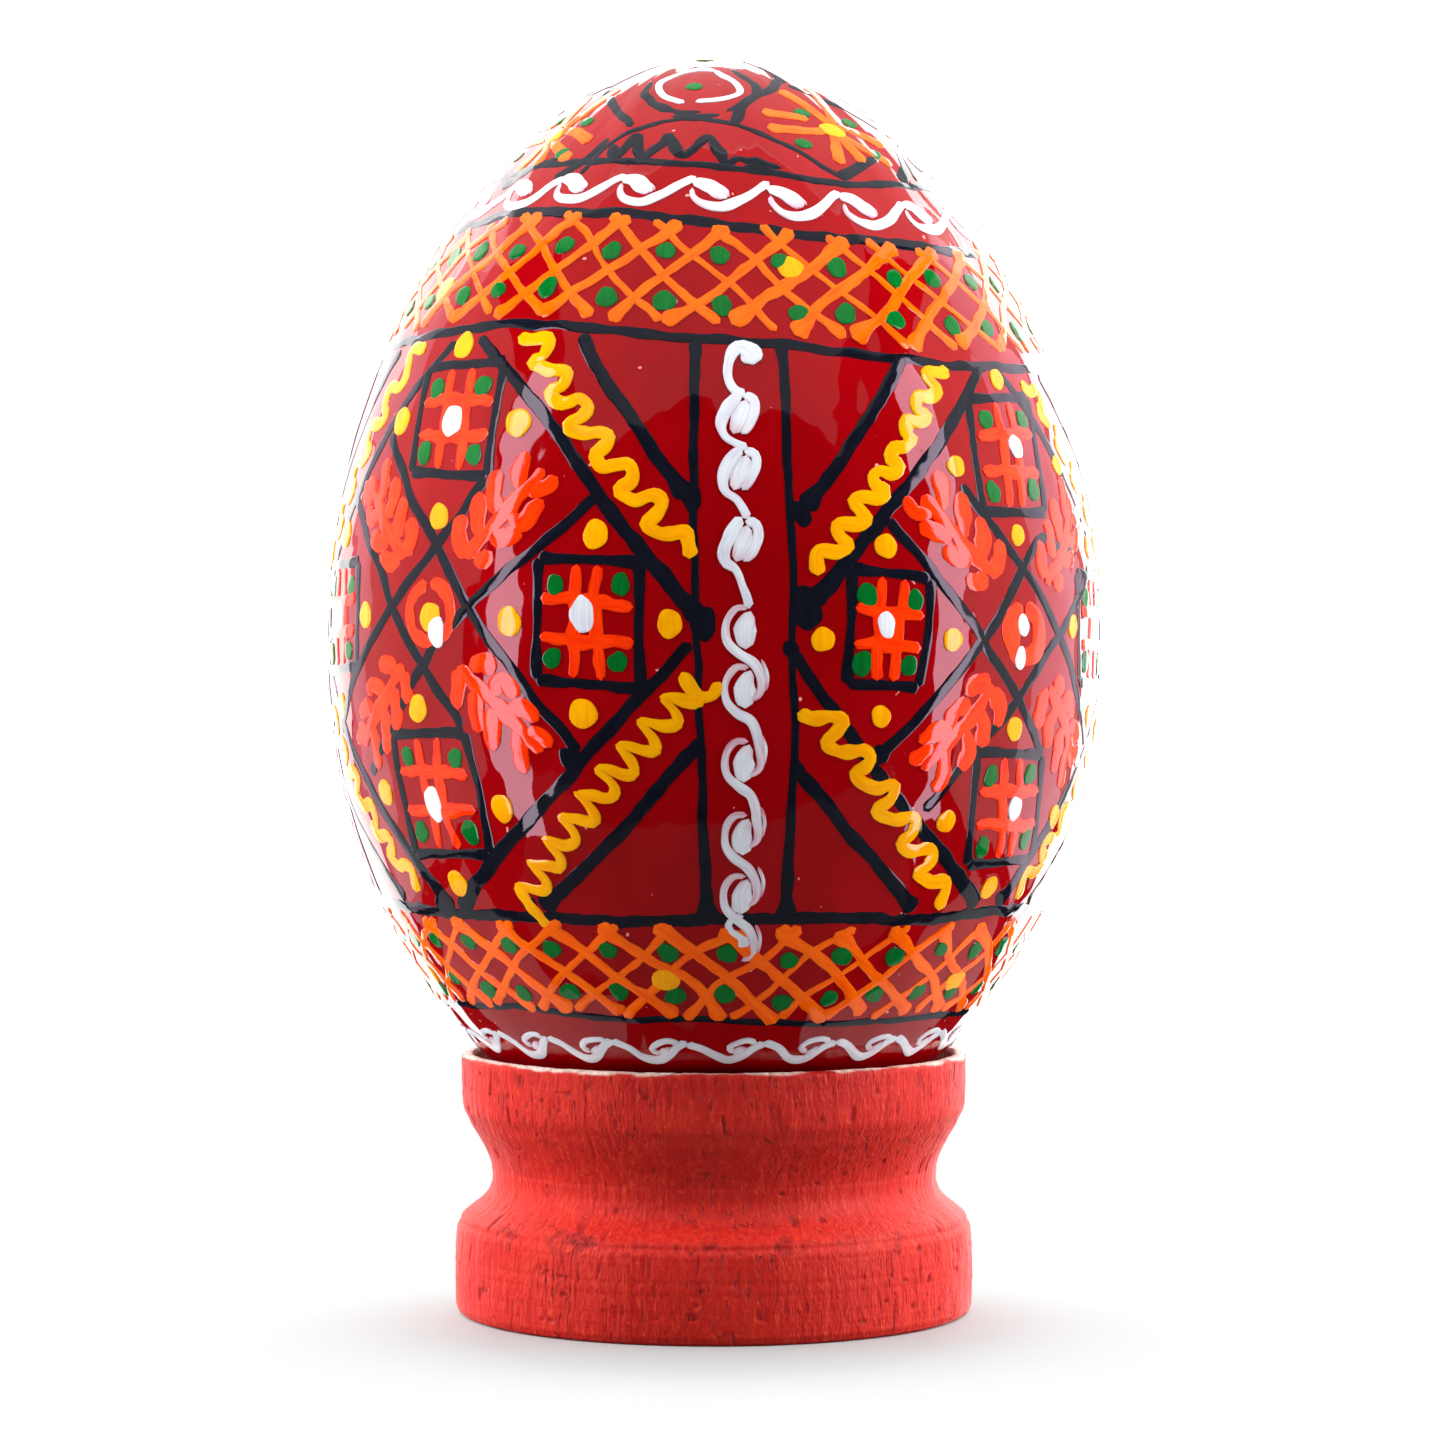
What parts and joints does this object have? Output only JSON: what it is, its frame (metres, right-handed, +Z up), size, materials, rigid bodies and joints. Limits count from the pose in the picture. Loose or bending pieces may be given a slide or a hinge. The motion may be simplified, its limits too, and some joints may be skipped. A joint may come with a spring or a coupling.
{
  "type": "painted wooden egg on stand",
  "caption": "Solid turned wooden egg with raised brush-painted folk ornament, resting loosely in a low turned wooden ring stand.",
  "frame": {"origin": "centre of the stand's flat base, on the surface that it stands on", "axes": "+Z up along the egg's axis; -Y is the front, the side with the scroll column a little right of the middle; +X to the right"},
  "size_m": [0.0606, 0.0606, 0.097],
  "materials": {
    "stained_wood": "matte red water stain on turned wood, with torn grain and a pale bare edge at the rim",
    "bare_wood": "sanded bare wood under the ground coat",
    "red_ground": "deep red enamel ground under clear gloss varnish",
    "black_enamel": "blue-black brush enamel under clear gloss varnish",
    "orange_enamel": "orange brush enamel under clear gloss varnish",
    "vermilion_enamel": "vermilion brush enamel under clear gloss varnish",
    "yellow_enamel": "warm yellow brush enamel under clear gloss varnish",
    "green_enamel": "emerald brush enamel under clear gloss varnish",
    "white_enamel": "white brush enamel, thin and pinkish where the stroke runs out, under clear gloss varnish"
  },
  "bodies": {
    "stand": {"ring_stand": "stained_wood"},
    "egg": {"wooden_egg": "bare_wood", "red_ground": "red_ground", "band_lines": "black_enamel", "column_lines": "black_enamel", "diamond_lines": "black_enamel", "corner_lines": "black_enamel", "cross_lines": "black_enamel", "square_lines": "black_enamel", "crown_lines": "black_enamel", "upper_lattice_rising": "orange_enamel", "upper_lattice_falling": "orange_enamel", "lower_lattice_rising": "orange_enamel", "lower_lattice_falling": "orange_enamel", "crown_crosses": "orange_enamel", "grid_uprights": "vermilion_enamel", "grid_levels": "vermilion_enamel", "leaf_sprigs": "vermilion_enamel", "centre_rings": "vermilion_enamel", "yellow_zigzags": "yellow_enamel", "upper_scroll": "white_enamel", "lower_scroll": "white_enamel", "column_scrolls": "white_enamel", "crown_diamonds": "white_enamel", "green_dots": "green_enamel", "yellow_dots": "yellow_enamel", "white_dots": "white_enamel"}
  },
  "joints": [
    {"name": "egg_lift", "type": "slide", "parent": "stand", "child": "egg", "axis": [0, 0, 1], "range_m": [0, 0.025]}
  ]
}
